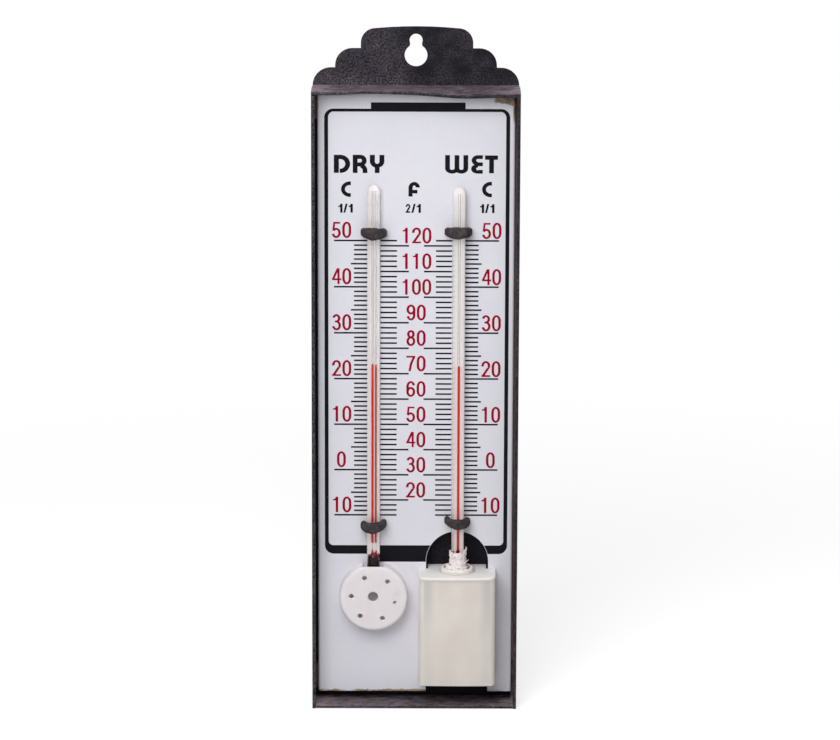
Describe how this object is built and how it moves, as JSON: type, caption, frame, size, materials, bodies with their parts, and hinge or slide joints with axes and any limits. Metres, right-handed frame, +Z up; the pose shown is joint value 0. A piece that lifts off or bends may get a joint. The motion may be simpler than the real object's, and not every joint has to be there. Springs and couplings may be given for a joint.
{
  "type": "wet and dry bulb hygrometer",
  "caption": "Wall-hung wet and dry bulb hygrometer: spirit thermometers on a printed plate in a shallow sheet tray, with a bulb guard and a sliding water reservoir.",
  "frame": {"origin": "hanging point: the centre of the keyhole's small lobe, on the back face that lies against the wall", "axes": "+Z up along the stems, -Y out of the wall towards the reader, +X to the reader's right"},
  "size_m": [0.087, 0.0224, 0.2934],
  "materials": {
    "black_enamelled_steel": "semi-gloss black stoving enamel, finely worn",
    "white_coated_aluminium": "satin white coating with printed scales",
    "adhesive": "aged amber adhesive",
    "stem_glass": "clear drawn glass",
    "white_enamel": "opaque white enamel fused in the glass",
    "red_spirit": "dyed red spirit",
    "strap_rubber": "matte grey-black rubber",
    "white_plastic": "moulded white plastic",
    "milky_plastic": "translucent milky moulded plastic",
    "cotton": "undyed woven cotton, frayed"
  },
  "bodies": {
    "case": {"case_tray": "black_enamelled_steel", "case_top_wall": "black_enamelled_steel", "scale_plate": "white_coated_aluminium", "adhesive_top_left": "adhesive", "adhesive_top_right": "adhesive", "adhesive_bottom_left": "adhesive", "adhesive_bottom_right": "adhesive", "dry_thermometer_glass": "stem_glass", "dry_enamel_strip": "white_enamel", "dry_spirit": "red_spirit", "wet_thermometer_glass": "stem_glass", "wet_enamel_strip": "white_enamel", "wet_spirit": "red_spirit", "upper_dry_retainer": "strap_rubber", "lower_dry_retainer": "strap_rubber", "upper_wet_retainer": "strap_rubber", "lower_wet_retainer": "strap_rubber", "wick_sleeve": "cotton", "wick_tail": "cotton", "wick_tie": "cotton"},
    "reservoir": {"reservoir_body": "milky_plastic", "reservoir_lid": "milky_plastic"},
    "guard": {"bulb_guard": "white_plastic"}
  },
  "joints": [
    {"name": "reservoir_slide", "type": "slide", "parent": "case", "child": "reservoir", "axis": [0, 0, -1], "range_m": [0, 0.0085]},
    {"name": "guard_pull", "type": "slide", "parent": "case", "child": "guard", "axis": [0, -1, 0], "range_m": [0, 0.02]}
  ]
}
